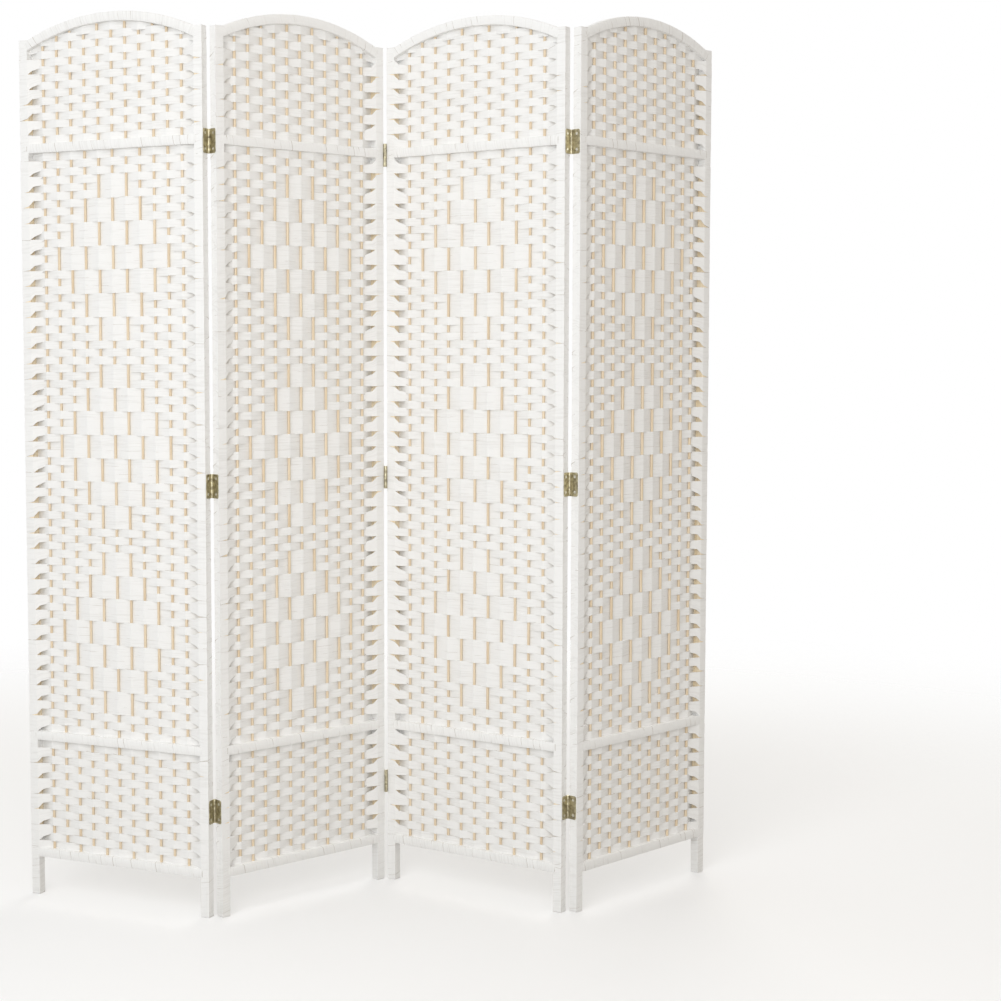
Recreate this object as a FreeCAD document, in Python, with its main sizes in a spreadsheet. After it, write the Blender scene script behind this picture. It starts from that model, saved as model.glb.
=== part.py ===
import FreeCAD, Part
import math
import os
import re
import Sketcher

# Woven four-panel folding screen, in millimetres and degrees.
# Each panel is a wooden frame of two posts, three cross rails and a bent top rail. Every rail is
# a pair of battens that pinch a row of upright rods, paper strip is woven over and under the
# rods, and the frame is wound with the same strip. Butt hinges on the posts' facing edges join
# the panels, with their pins behind, before and behind the screen in turn.
# In a panel's own frame X runs along the panel, Y from its front to its back, and Z is up.

sizes = {
    "panel_width": 400,
    "post_height": 1660,
    "post_size": 16.4,
    "foot_chamfer": 1,
    "wrap_thickness": 0.8,
    "wrap_lift": 2,
    "arch_rise": 40,
    "arch_depth": 18,
    "rail_height": 18,
    "bottom_rail_level": 84,
    "lower_rail_level": 317,
    "upper_rail_drop": 205,
    "rod_count": 11,
    "rod_diameter": 5,
    "rod_clearance": 0.2,
    "rod_cover": 4,
    "strip_thickness": 0.8,
    "strip_clearance": 0.3,
    "lower_bands": 2,
    "middle_bands": 8,
    "upper_bands": 2,
    "hinge_height": 45,
    "hinge_low": 201,
    "hinge_middle": 816,
    "hinge_drop": 208,
    "leaf_thickness": 1.2,
    "leaf_gap": 0.6,
    "leaf_margin": 2,
    "leaf_corner": 2.5,
    "knuckle_radius": 3,
    "knuckle_gap": 0.5,
    "knuckle_play": 0.3,
    "pin_radius": 1.5,
    "pin_clearance": 0.05,
    "screw_head_radius": 2.8,
    "screw_shank_radius": 1.3,
    "screw_length": 13,
    "screw_clearance": 0.1,
    "screw_inset": 8,
    "second_panel_heading": 38.5,
    "first_fold": 64,
    "second_fold": 75,
    "third_fold": 78.5,
}

# Lengths that follow from the driving sizes.
layout = {
    "post_outer": "post_size + 2 * wrap_thickness",
    "inner_width": "panel_width - 2 * post_outer",
    "rod_pitch": "inner_width / (rod_count + 1)",
    "depth_middle": "post_outer / 2",
    "batten_depth": "(post_outer - rod_diameter) / 2 - rod_clearance",
    "upper_rail_level": "post_height - upper_rail_drop",
    "arch_radius": "(inner_width ^ 2 / 4 + arch_rise ^ 2) / (2 * arch_rise)",
    "arch_inner_radius": "arch_radius - arch_depth",
    "arch_centre": "post_height + arch_rise - arch_radius",
    "wave_height": "rod_diameter / 2 + strip_thickness / 2 + strip_clearance",
    "flare": "depth_middle - strip_thickness",
    "lower_field_start": "bottom_rail_level + rail_height / 2 + strip_clearance",
    "lower_field": "lower_rail_level - rail_height / 2 - lower_field_start",
    "middle_field_start": "lower_rail_level + rail_height / 2 + strip_clearance",
    "middle_field": "upper_rail_level - rail_height / 2 - middle_field_start",
    "upper_field_start": "upper_rail_level + rail_height / 2 + strip_clearance",
    "upper_field": "post_height + arch_rise - arch_depth - upper_field_start",
    "pin_offset": "knuckle_radius + knuckle_gap",
    "joint_gap": "2 * leaf_thickness + leaf_gap",
    "leaf_reach": "post_outer + pin_offset - leaf_margin",
    "leaf_place": "leaf_gap / 2",
    "knuckle_zone": "hinge_height / 3",
    "knuckle_height": "knuckle_zone - knuckle_play",
    "knuckle_relief": "knuckle_radius + knuckle_play",
    "screw_setback": "pin_offset + depth_middle",
    "screw_spread": "hinge_height - 2 * screw_inset",
    "hinge_high": "post_height - hinge_drop",
}

# Round pieces that repeat have this many flat sides.
rod_sides = 8
pin_sides = 10
screw_sides = 6

doc = FreeCAD.newDocument("folding_screen")


def with_sheet_names(formula):
    """Points every size named in a formula at its sheet."""
    def point(match):
        word = match.group(0)
        if word in sizes:
            return "sizes." + word
        return "layout." + word if word in layout else word
    return re.sub(r"[a-z][a-z_]*", point, formula)


def fill_sheet(name, cells):
    """Writes one aliased cell for each named size."""
    sheet = doc.addObject("Spreadsheet::Sheet", name)
    for row, (alias, content) in enumerate(cells.items(), start=1):
        sheet.set(f"A{row}", alias)
        sheet.set(f"B{row}", content)
        sheet.setAlias(f"B{row}", alias)
        doc.recompute()
    return sheet


size_sheet = fill_sheet("sizes", {alias: str(number) for alias, number in sizes.items()})
layout_sheet = fill_sheet("layout", {
    alias: "=" + with_sheet_names(formula).replace("layout.", "") for alias, formula in layout.items()
})


def size(name):
    """Reads a size back from its sheet."""
    sheet = size_sheet if name in sizes else layout_sheet
    return float(sheet.get(name))


def bind(item, **formulas):
    """Binds properties to the sheets; x, y and z stand for the item's place."""
    for name, formula in formulas.items():
        path = f"Placement.Base.{name}" if name in "xyz" else name
        item.setExpression(path, with_sheet_names(str(formula)))
    return item


def make(kind, name, **formulas):
    return bind(doc.addObject("Part::" + kind, name), **formulas)


def prism(name, sides, radius, height, **place):
    """A round piece with flat sides."""
    item = make("Prism", name, Circumradius=radius, Height=height, **place)
    item.Polygon = sides
    return item


def join(kind, name, base, tool):
    """A boolean of two shapes."""
    result = doc.addObject("Part::" + kind, name)
    result.Base = base
    result.Tool = tool
    return result


def group(name, members, placement=FreeCAD.Placement()):
    """Several shapes kept apart under one name."""
    gathered = doc.addObject("Part::Compound", name)
    gathered.Label = name
    gathered.Links = members
    gathered.Placement = placement
    return gathered


def outline(sketch, corners):
    """Closed polygon whose corners are held by formulas measured from the sketch's origin."""
    count = len(corners)
    start_circle = Part.Circle(FreeCAD.Vector(), FreeCAD.Vector(0, 0, 1), count)
    spots = [start_circle.value(math.tau * k / count) for k in range(count)]
    for k in range(count):
        sketch.addGeometry(Part.LineSegment(spots[k], spots[(k + 1) % count]))
    for k in range(count):
        sketch.addConstraint(Sketcher.Constraint("Coincident", k, 2, (k + 1) % count, 1))
    for k, corner in enumerate(corners):
        for axis, formula in zip("XY", corner):
            start = getattr(spots[k], axis.lower())
            index = sketch.addConstraint(Sketcher.Constraint("Distance" + axis, -1, 1, k, 1, start))
            sketch.setExpression(f"Constraints[{index}]", with_sheet_names(formula))
    return sketch


def body_with_outline(name, plane, corners):
    """A body and its first outline, drawn on one of the body's own planes."""
    body = doc.addObject("PartDesign::Body", name)
    sketch = body.newObject("Sketcher::SketchObject", name + "_outline")
    support = [item for item in body.Origin.OriginFeatures if item.Role == plane]
    sketch.AttachmentSupport = [(support[0], "")]
    sketch.MapMode = "FlatFace"
    outline(sketch, corners)
    return body, sketch


def post():
    """Square upright with the edges of its foot eased."""
    body, sketch = body_with_outline("post", "XY_Plane", [
        ("0", "0"), ("post_size", "0"), ("post_size", "post_size"), ("0", "post_size")])
    pad = body.newObject("PartDesign::Pad", "post_length")
    pad.Profile = sketch
    bind(pad, Length="post_height")
    doc.recompute()
    foot = [f"Edge{k}" for k, edge in enumerate(pad.Shape.Edges, start=1)
            if edge.BoundBox.ZMax < size("foot_chamfer")]
    chamfer = body.newObject("PartDesign::Chamfer", "post_foot")
    chamfer.Base = (pad, foot)
    bind(chamfer, Size="foot_chamfer")
    return body


batten_places = {"front": "0", "back": "post_outer - batten_depth"}


def rail(name):
    """Cross rail: two straight battens, before and behind the rods."""
    return [make("Box", f"{name}_{side}_batten", Length="inner_width", Width="batten_depth",
                 Height="rail_height", x="post_outer", y=place, z=f"{name}_rail_level - rail_height / 2")
            for side, place in batten_places.items()]


def disc(name, radius, height, far_face):
    """Disc about the top rail's centre of curvature, standing across the panel."""
    item = make("Cylinder", name, Radius=radius, Height=height,
                x="panel_width / 2", y=far_face, z="arch_centre")
    item.Placement.Rotation = FreeCAD.Rotation(FreeCAD.Vector(1, 0, 0), 90)
    return item


def arch():
    """Top rail: two bent battens, each a slice of a ring cut off at the posts."""
    battens = []
    for side, place in batten_places.items():
        name = f"arch_{side}_batten"
        far_face = f"{place} + batten_depth"
        ring = join("Cut", name + "_ring", disc(name + "_outer", "arch_radius", "batten_depth", far_face),
                    disc(name + "_inner", "arch_inner_radius", "batten_depth", far_face))
        window = make("Box", name + "_window", Length="inner_width", Width="batten_depth",
                      Height="2 * arch_radius", x="post_outer", y=place, z="arch_centre")
        battens.append(join("Common", name, ring, window))
    return battens


def rods():
    """Upright rods from the bottom rail to the middle of the top rail's depth."""
    made = []
    for k in range(1, int(size("rod_count")) + 1):
        place = f"post_outer + {k} * rod_pitch"
        foot = "bottom_rail_level - rail_height / 2 + rod_cover"
        reach = "(arch_radius + arch_inner_radius) / 2"
        top = f"arch_centre + sqrt(({reach}) ^ 2 - ({place} - panel_width / 2) ^ 2)"
        made.append(prism(f"rod_{k}", rod_sides, "rod_diameter / 2", f"{top} - ({foot})",
                          x=place, y="depth_middle", z=foot))
    return made


def wave(name, first_side):
    """Plan of a strip that passes the rods on alternate sides and ends at the posts' edges."""
    columns = int(size("rod_count")) + 2
    front, back = [], []
    for k in range(columns):
        along = f"post_outer + {k} * rod_pitch"
        swing = "flare" if k in (0, columns - 1) else "wave_height"
        side = first_side * (-1) ** k
        front.append((along, f"depth_middle + {side} * {swing} - strip_thickness / 2"))
        back.append((along, f"depth_middle + {side} * {swing} + strip_thickness / 2"))
    return outline(doc.addObject("Sketcher::SketchObject", name), front + back[::-1])


def woven_field(name, waves):
    """Bands of weaving stacked between two rails, each a step out of phase with the last."""
    bands = []
    count = int(size(name + "_bands"))
    for k in range(count):
        band = doc.addObject("Part::Extrusion", f"{name}_band_{k + 1}")
        band.Base = waves[k % 2]
        band.DirMode = "Custom"
        band.Dir = FreeCAD.Vector(0, 0, 1)
        band.Solid = True
        pitch = f"{name}_field / {name}_bands"
        bind(band, LengthFwd=f"{pitch} - strip_clearance", z=f"{name}_field_start + {k} * {pitch}")
        bands.append(band)
    return bands


def under_arch(name, band):
    """The part of a band below the top rail's curve."""
    limit = disc(name + "_limit", "arch_inner_radius - strip_clearance", "post_outer", "post_outer")
    return join("Common", name, band, limit)


def winding(name, x):
    """Paper wound round a post, from just above the floor to the top."""
    height = "post_height - wrap_lift"
    outside = make("Box", name + "_outside", Length="post_outer", Width="post_outer", Height=height,
                   x=x, z="wrap_lift")
    inside = make("Box", name + "_inside", Length="post_size", Width="post_size", Height=height,
                  x=f"{x} + wrap_thickness", y="wrap_thickness", z="wrap_lift")
    return join("Cut", name, outside, inside)


def tapered(name, side, radii):
    """Flat-sided plug across a leaf at one of its screw holes, through radii at places along X."""
    rings = []
    for place, radius in radii.items():
        ring = make("RegularPolygon", f"{name}_ring_{len(rings) + 1}", Circumradius=radius,
                    x=place, y="0 - screw_setback", z=f"{side} * screw_spread / 2")
        ring.Polygon = screw_sides
        ring.Placement.Rotation = FreeCAD.Rotation(FreeCAD.Vector(0, 1, 0), 90)
        rings.append(ring)
    plug = doc.addObject("Part::Loft", name)
    plug.Sections = rings
    plug.Solid = True
    plug.Ruled = True
    return plug


def hinge_leaf(name, zones):
    """Leaf of a butt hinge about the Z axis, its plate towards -Y; zones are its own knuckles."""
    half = "hinge_height / 2"
    plate = make("Box", name + "_plate", Length="leaf_thickness", Width="leaf_reach - knuckle_relief",
                 Height="hinge_height", x="leaf_place", y="0 - leaf_reach", z=f"0 - {half}")
    doc.recompute()
    half_thickness = size("leaf_thickness") / 2
    corners = [k for k, edge in enumerate(plate.Shape.Edges, start=1)
               if edge.BoundBox.XLength > half_thickness and edge.CenterOfMass.y < plate.Shape.CenterOfMass.y]
    cornered = doc.addObject("Part::Chamfer", name + "_cornered")
    cornered.Base = plate
    cornered.Edges = [(k, size("leaf_corner"), size("leaf_corner")) for k in corners]
    pieces = [cornered]
    for zone in zones:
        place = f"{zone} * knuckle_zone - knuckle_height / 2"
        pieces.append(make("Box", f"{name}_tongue_{len(pieces)}", Length="leaf_thickness",
                           Width="knuckle_relief", Height="knuckle_height",
                           x="leaf_place", y="0 - knuckle_relief", z=place))
        pieces.append(prism(f"{name}_knuckle_{len(pieces)}", pin_sides, "knuckle_radius", "knuckle_height",
                            z=place))
    solid = doc.addObject("Part::MultiFuse", name + "_solid")
    solid.Shapes = pieces
    solid.Refine = True
    cuts = [prism(name + "_bore", pin_sides, f"(pin_radius + pin_clearance) / cos(180 / {pin_sides})",
                  "2 * hinge_height", z="0 - hinge_height")]
    for side in (-1, 1):
        cuts.append(tapered(f"{name}_sink_{side + 2}", side, {
            "leaf_place": "screw_head_radius + screw_clearance",
            "leaf_place + leaf_thickness": "screw_shank_radius + screw_clearance"}))
    tools = doc.addObject("Part::MultiFuse", name + "_cuts")
    tools.Shapes = cuts
    return join("Cut", name, solid, tools)


def screw(name, side):
    """Countersunk wood screw in a leaf's upper or lower hole, its head flush with the leaf."""
    return tapered(name, side, {
        "leaf_place": "screw_head_radius",
        "leaf_place + leaf_thickness": "screw_shank_radius",
        "leaf_place + screw_length": "screw_shank_radius"})


def pin():
    """Hinge pin, flush with the ends of the knuckles."""
    return prism("pin", pin_sides, "pin_radius", "hinge_height", z="0 - hinge_height / 2")


# One panel's pieces and one hinge's pieces, which every panel and joint repeats.
post_piece = post()
waves = [wave("wave_front_first", -1), wave("wave_back_first", 1)]
upper_bands = woven_field("upper", waves)
upper_bands[-1] = under_arch("upper_band_under_arch", upper_bands[-1])
panel_pieces = {
    "top_arch": arch(),
    "upper_rail": rail("upper"),
    "lower_rail": rail("lower"),
    "bottom_rail": rail("bottom"),
    "warp_rods": rods(),
    "upper_weave": upper_bands,
    "middle_weave": woven_field("middle", waves),
    "lower_weave": woven_field("lower", waves),
    "post_windings": [winding("left_winding", "0"), winding("right_winding", "panel_width - post_outer")],
}
outer_leaf = hinge_leaf("outer_leaf", (-1, 1))
inner_leaf = hinge_leaf("inner_leaf", (0,))
leaf_screws = [screw("lower_screw", -1), screw("upper_screw", 1)]
pin_piece = pin()
doc.recompute()

vertical = FreeCAD.Vector(0, 0, 1)
hinge_levels = [size("hinge_low"), size("hinge_middle"), size("hinge_high")]
right, left, behind, before = "right", "left", "behind", "before"


def pin_axis(edge, face):
    """Where a joint's pin stands in a panel's frame."""
    half_gap = size("joint_gap") / 2
    x = size("panel_width") + half_gap if edge == right else -half_gap
    y = size("post_outer") + size("pin_offset") if face == behind else -size("pin_offset")
    return FreeCAD.Vector(x, y, 0)


def hang(neighbour, edge, face, heading):
    """Placement of a panel that shares a pin with its neighbour's edge."""
    other = left if edge == right else right
    turn = FreeCAD.Rotation(vertical, heading)
    shared_pin = neighbour.multVec(pin_axis(edge, face))
    return FreeCAD.Placement(shared_pin - turn.multVec(pin_axis(other, face)), turn)


second_heading = size("second_panel_heading")
third_heading = second_heading - size("second_fold")
second = FreeCAD.Placement(FreeCAD.Vector(), FreeCAD.Rotation(vertical, second_heading))
first = hang(second, left, behind, second_heading - size("first_fold"))
third = hang(second, right, before, third_heading)
fourth = hang(third, right, behind, third_heading + size("third_fold"))
panels = [first, second, third, fourth]

# The origin goes to the middle of the standing screen's plan.
plan_box = FreeCAD.BoundBox()
for panel in panels:
    for x in (0, size("panel_width")):
        for y in (0, size("post_outer")):
            plan_box.add(panel.multVec(FreeCAD.Vector(x, y, 0)))
for panel in panels:
    panel.Base = panel.Base - plan_box.Center

# The hinged edges of each panel, the side of the screen that the pin is on, and the leaf there.
hinge_edges = [
    [(right, behind, inner_leaf)],
    [(left, behind, outer_leaf), (right, before, outer_leaf)],
    [(left, before, inner_leaf), (right, behind, outer_leaf)],
    [(left, behind, inner_leaf)],
]


def hinge_place(edge, face, level):
    """Placement of a hinge in a panel's frame; a half turn faces the leaf to its own post."""
    turns = {
        (left, behind): FreeCAD.Rotation(),
        (right, behind): FreeCAD.Rotation(FreeCAD.Vector(0, 1, 0), 180),
        (left, before): FreeCAD.Rotation(FreeCAD.Vector(1, 0, 0), 180),
        (right, before): FreeCAD.Rotation(vertical, 180),
    }
    return FreeCAD.Placement(pin_axis(edge, face) + vertical * level, turns[edge, face])


subparts = []
for number, panel in enumerate(panels, start=1):
    name = f"panel_{number}_"
    inset = size("wrap_thickness")
    for side, x in ((left, inset), (right, size("panel_width") - inset - size("post_size"))):
        stand = panel.multiply(FreeCAD.Placement(FreeCAD.Vector(x, inset, 0), FreeCAD.Rotation()))
        subparts.append(group(f"{name}{side}_post", [post_piece], stand))
    for piece, members in panel_pieces.items():
        subparts.append(group(name + piece, members, panel))
    leaves, screws = [], []
    for edge, face, leaf in hinge_edges[number - 1]:
        for k, level in enumerate(hinge_levels, start=1):
            place = hinge_place(edge, face, level)
            leaves.append(group(f"{name}{edge}_leaf_{k}", [leaf], place))
            screws.append(group(f"{name}{edge}_screws_{k}", leaf_screws, place))
    subparts.append(group(name + "hinge_leaves", leaves, panel))
    subparts.append(group(name + "hinge_screws", screws, panel))

pin_carriers = [(second, left, behind), (second, right, before), (third, right, behind)]
for number, (panel, edge, face) in enumerate(pin_carriers, start=1):
    pins = [group(f"joint_{number}_pin_{k}", [pin_piece], hinge_place(edge, face, level))
            for k, level in enumerate(hinge_levels, start=1)]
    subparts.append(group(f"joint_{number}_hinge_pins", pins, panel))

doc.recompute()
for item in doc.Objects:
    if "Invalid" in item.State or "Error" in item.State:
        raise RuntimeError(f"{item.Label} failed to build")
for item in subparts:
    if item.Shape.isNull() or not item.Shape.isValid():
        raise RuntimeError(f"{item.Label} has no valid shape")

for number, (panel, edge, face) in enumerate(pin_carriers, start=1):
    axis = panel.multVec(pin_axis(edge, face))
    print(f"joint {number} pin axis at x {axis.x:.4f}, y {axis.y:.4f}")

os.makedirs("parts", exist_ok=True)
for item in subparts:
    item.Shape.exportStep(f"parts/{item.Label}.step")
print(f"{len(subparts)} pieces written")
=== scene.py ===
import math
import bpy
from mathutils import Matrix, Vector


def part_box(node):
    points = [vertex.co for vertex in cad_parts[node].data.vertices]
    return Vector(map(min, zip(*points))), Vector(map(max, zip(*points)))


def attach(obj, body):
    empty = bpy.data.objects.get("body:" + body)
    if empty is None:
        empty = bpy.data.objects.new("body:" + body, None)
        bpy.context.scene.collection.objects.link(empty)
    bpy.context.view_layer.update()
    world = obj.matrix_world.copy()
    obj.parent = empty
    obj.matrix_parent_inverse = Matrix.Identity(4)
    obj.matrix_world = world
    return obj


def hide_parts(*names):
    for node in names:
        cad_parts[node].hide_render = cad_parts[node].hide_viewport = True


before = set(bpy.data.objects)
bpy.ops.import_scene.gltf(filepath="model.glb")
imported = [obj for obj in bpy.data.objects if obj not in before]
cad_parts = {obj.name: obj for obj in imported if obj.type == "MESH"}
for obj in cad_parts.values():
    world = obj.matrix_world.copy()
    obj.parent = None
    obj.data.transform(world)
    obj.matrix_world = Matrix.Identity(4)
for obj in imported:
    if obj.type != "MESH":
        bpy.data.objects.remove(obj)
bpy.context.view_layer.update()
print("frame loaded:", len(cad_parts), "nodes")

mm = 0.001


# the panels, as the frame holds them

def localBox(node, place):
    turned = place.inverted()
    points = [turned @ v.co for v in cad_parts[node].data.vertices]
    low = Vector(min(p[axis] for p in points) for axis in range(3))
    high = Vector(max(p[axis] for p in points) for axis in range(3))
    return low, high


def panelPlace(panel):  # x runs from post to post, y to the back, the origin is under the left post
    feet = []
    for side in ("left", "right"):
        low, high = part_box(f"{panel}_{side}_post")
        feet.append(Vector(((low.x + high.x) / 2, (low.y + high.y) / 2, 0)))
    run = feet[1] - feet[0]
    return Matrix.Translation(feet[0]) @ Matrix.Rotation(math.atan2(run.y, run.x), 4, "Z")


panels = ["panel_1", "panel_2", "panel_3", "panel_4"]
places = {panel: panelPlace(panel) for panel in panels}


def measure(panel):
    def box(node):
        return localBox(f"{panel}_{node}", places[panel])
    sizes = {}
    windLow, windHigh = box("post_windings")
    sizes["postHalf"] = (windHigh.y - windLow.y) / 2
    sizes["span"] = windHigh.x - windLow.x - 2 * sizes["postHalf"]
    sizes["postTop"] = windHigh.z
    rodLow, rodHigh = box("warp_rods")
    sizes["rodRadius"] = (rodHigh.y - rodLow.y) / 2
    sizes["rodFoot"] = rodLow.z
    for rail in ("bottom", "lower", "upper"):
        low, high = box(f"{rail}_rail")
        sizes[rail] = (low.z + high.z) / 2
        sizes["railHalf"] = (high.z - low.z) / 2
        sizes["inner"] = high.x - low.x
    archHigh = box("top_arch")[1].z
    rise = archHigh - sizes["postTop"]
    outer = (sizes["inner"] ** 2 / 4 + rise ** 2) / (2 * rise)
    sizes["archRadius"] = outer - sizes["railHalf"]
    sizes["archCentre"] = archHigh - outer
    return sizes


size = measure("panel_1")
print("panel sizes:", {name: round(value, 4) for name, value in size.items()})


# node trees: a wire is an output socket that takes plain arithmetic

class Wire:
    def __init__(self, tree, socket):
        self.tree = tree
        self.socket = socket

    def __add__(self, other):
        return self.tree.calc("ADD", self, other)

    def __radd__(self, other):
        return self.tree.calc("ADD", other, self)

    def __sub__(self, other):
        return self.tree.calc("SUBTRACT", self, other)

    def __rsub__(self, other):
        return self.tree.calc("SUBTRACT", other, self)

    def __mul__(self, other):
        return self.tree.calc("MULTIPLY", self, other)

    def __rmul__(self, other):
        return self.tree.calc("MULTIPLY", other, self)

    def __truediv__(self, other):
        return self.tree.calc("DIVIDE", self, other)


noiseGain = 3.0


class Tree:
    def __init__(self, name, numbers, others):  # labels of number inputs, other labels with their kinds
        inputs = {**dict.fromkeys(numbers, "Float"), **others}
        self.group = bpy.data.node_groups.new(name, "GeometryNodeTree")
        self.group.interface.new_socket("Geometry", in_out="OUTPUT", socket_type="NodeSocketGeometry")
        for label, kind in inputs.items():
            self.group.interface.new_socket(label, in_out="INPUT", socket_type="NodeSocket" + kind)
        inlet = self.group.nodes.new("NodeGroupInput")
        self.inputs = {label: Wire(self, inlet.outputs[label]) for label in inputs}

    def __getitem__(self, label):
        return self.inputs[label]

    def feed(self, socket, value):
        if isinstance(value, Wire):
            self.group.links.new(value.socket, socket)
        else:
            socket.default_value = value

    def add(self, kind, feeds=None, out=None, **settings):
        node = self.group.nodes.new(kind)
        for key, value in settings.items():
            setattr(node, key, value)
        for label, value in (feeds or {}).items():
            self.feed(next(s for s in node.inputs if s.name == label and s.enabled), value)
        return Wire(self, next(s for s in node.outputs if s.enabled and out in (None, s.name)))

    def calc(self, operation, *values):
        node = self.group.nodes.new("ShaderNodeMath")
        node.operation = operation
        for socket, value in zip(node.inputs, values):
            self.feed(socket, value)
        return Wire(self, node.outputs[0])

    def vector(self, x, y, z):
        return self.add("ShaderNodeCombineXYZ", {"X": x, "Y": y, "Z": z})

    def split(self, vector):
        parts = self.add("ShaderNodeSeparateXYZ", {"Vector": vector}).socket.node.outputs
        return [Wire(self, parts[axis]) for axis in "XYZ"]

    def pick(self, index, values):  # the value that stands at an index
        node = self.group.nodes.new("GeometryNodeIndexSwitch")
        node.data_type = "FLOAT"
        while len(node.index_switch_items) < len(values):
            node.index_switch_items.new()
        self.feed(node.inputs[0], index)
        for socket, value in zip(node.inputs[1:], values):
            self.feed(socket, value)
        return Wire(self, node.outputs[0])

    def mix(self, low, high, share):
        return self.calc("MULTIPLY_ADD", self.calc("SUBTRACT", high, low), share, low)

    def noise(self, x, y, z):  # about -1 to 1, as the texture keeps near a half
        field = self.add("ShaderNodeTexNoise", {"Vector": self.vector(x, y, z), "Scale": 1.0, "Detail": 1.0})
        return (field - 0.5) * noiseGain

    def chance(self, spread, key, seed):  # from -spread to spread, by key
        return self.add("FunctionNodeRandomValue",
                        {"Min": -1.0, "Max": 1.0, "ID": key, "Seed": seed}, data_type="FLOAT") * spread

    def keep(self, geometry, name, value, kind="FLOAT"):
        return self.add("GeometryNodeStoreNamedAttribute",
                        {"Geometry": geometry, "Name": name, "Value": value}, data_type=kind)

    def kept(self, name, kind="FLOAT"):
        return self.add("GeometryNodeInputNamedAttribute", {"Name": name}, data_type=kind)

    def end(self, geometry, material, crisp=0.7):  # edges that turn by more radians stay sharp
        angle = self.add("GeometryNodeInputMeshEdgeAngle", out="Unsigned Angle")
        shaded = self.add("GeometryNodeSetShadeSmooth",
                          {"Geometry": geometry, "Selection": self.calc("GREATER_THAN", angle, crisp),
                           "Shade Smooth": False}, domain="EDGE")
        whole = self.add("GeometryNodeRealizeInstances", {"Geometry": shaded})
        coloured = self.add("GeometryNodeSetMaterial", {"Geometry": whole, "Material": material})
        outlet = self.group.nodes.new("NodeGroupOutput")
        self.feed(outlet.inputs["Geometry"], coloured)


def addObject(name, data):
    thing = bpy.data.objects.new(name, data)
    bpy.context.scene.collection.objects.link(thing)
    return thing


def grow(name, tree, values, place):  # runs a tree once and keeps the result as a plain mesh
    piece = addObject(name, bpy.data.meshes.new(name))
    modifier = piece.modifiers.new(name, "NODES")
    modifier.node_group = tree.group
    for item in tree.group.interface.items_tree:
        if item.in_out == "INPUT":
            modifier[item.identifier] = values[item.name]
    shape = bpy.data.meshes.new_from_object(piece.evaluated_get(bpy.context.evaluated_depsgraph_get()))
    piece.modifiers.remove(modifier)
    shape.name = name
    shape.transform(place)
    piece.data = shape
    return piece


def settle(piece, body, slot, *nodes):
    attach(piece, body)
    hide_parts(*nodes)


# finishes

class Finish:
    def __init__(self, name, **sockets):
        self.material = bpy.data.materials.new(name)
        self.material.use_nodes = True
        self.nodes = self.material.node_tree.nodes
        self.links = self.material.node_tree.links
        self.shader = self.nodes["Principled BSDF"]
        for label, value in sockets.items():
            self.shader.inputs[label.replace("_", " ")].default_value = value

    def add(self, kind, feeds=None, **settings):
        node = self.nodes.new(kind)
        for key, value in settings.items():
            setattr(node, key, value)
        for label, value in (feeds or {}).items():
            self.feed(node.inputs[label], value)
        return node

    def feed(self, socket, value):
        if isinstance(value, bpy.types.NodeSocket):
            self.links.new(value, socket)
        else:
            socket.default_value = value

    def calc(self, operation, *values):
        node = self.add("ShaderNodeMath", operation=operation)
        for socket, value in zip(node.inputs, values):
            self.feed(socket, value)
        return node.outputs[0]

    def attribute(self, name):
        return self.add("ShaderNodeAttribute", attribute_name=name).outputs["Fac"]

    def stretched(self, scale=(1.0, 1.0, 1.0)):  # object coordinates
        place = self.add("ShaderNodeTexCoord").outputs["Object"]
        return self.add("ShaderNodeMapping", {"Vector": place, "Scale": scale}).outputs["Vector"]

    def noise(self, vector, scale, detail=3.0):
        node = self.add("ShaderNodeTexNoise", {"Vector": vector, "Scale": scale, "Detail": detail})
        return node.outputs["Fac"]

    def ramp(self, factor, stops):
        node = self.add("ShaderNodeValToRGB", {"Fac": factor})
        while len(node.color_ramp.elements) < len(stops):
            node.color_ramp.elements.new(0.5)
        for element, (spot, colour) in zip(node.color_ramp.elements, stops):
            element.position = spot
            element.color = (*colour, 1.0)
        return node.outputs["Color"]

    def blend(self, factor, first, second):
        node = self.add("ShaderNodeMix", data_type="RGBA")
        for socket, value in zip((node.inputs[0], node.inputs[6], node.inputs[7]), (factor, first, second)):
            self.feed(socket, value)
        return node.outputs[2]

    def bump(self, height, strength, distance):
        node = self.add("ShaderNodeBump", {"Height": height, "Strength": strength, "Distance": distance})
        self.links.new(node.outputs["Normal"], self.shader.inputs["Normal"])

    def colour(self, socket):
        self.links.new(socket, self.shader.inputs["Base Color"])

    def roughness(self, factor, low, high):
        node = self.add("ShaderNodeMapRange", {"Value": factor, "To Min": low, "To Max": high})
        self.links.new(node.outputs["Result"], self.shader.inputs["Roughness"])


paperLook = {
    # bright and dull: paper on the crease ridges and in the crease hollows; the dull colour is partly painted
    # shade
    "bright": (0.885, 0.882, 0.870),
    "dull": (0.80, 0.793, 0.775),
    "brightAt": 0.44,
    "dullAt": 0.2,
    "creaseShare": 0.75,
    "toneShare": 0.12,
    "stripsApart": 37.0,
    "creasesAcross": 7.0,
    "creaseLength": 0.045,
    "fibreLength": 0.006,
    "fibresAcross": 34.0,
    # edge and edgeShade: colour and strength of the painted shade line along strip edges, the shadow of the
    # seam where one strip overlaps the next
    "edge": (0.33, 0.27, 0.20),
    "edgeShade": 0.85,
    "edgeLength": 0.05,
    "edgesAcross": 0.9,
    "edgeShows": (0.53, 0.63),
    "specular": 0.3,
    "roughness": (0.62, 0.86),
    "fibreBump": 0.3,
    "bump": (0.5, 0.6 * mm),
}


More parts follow.
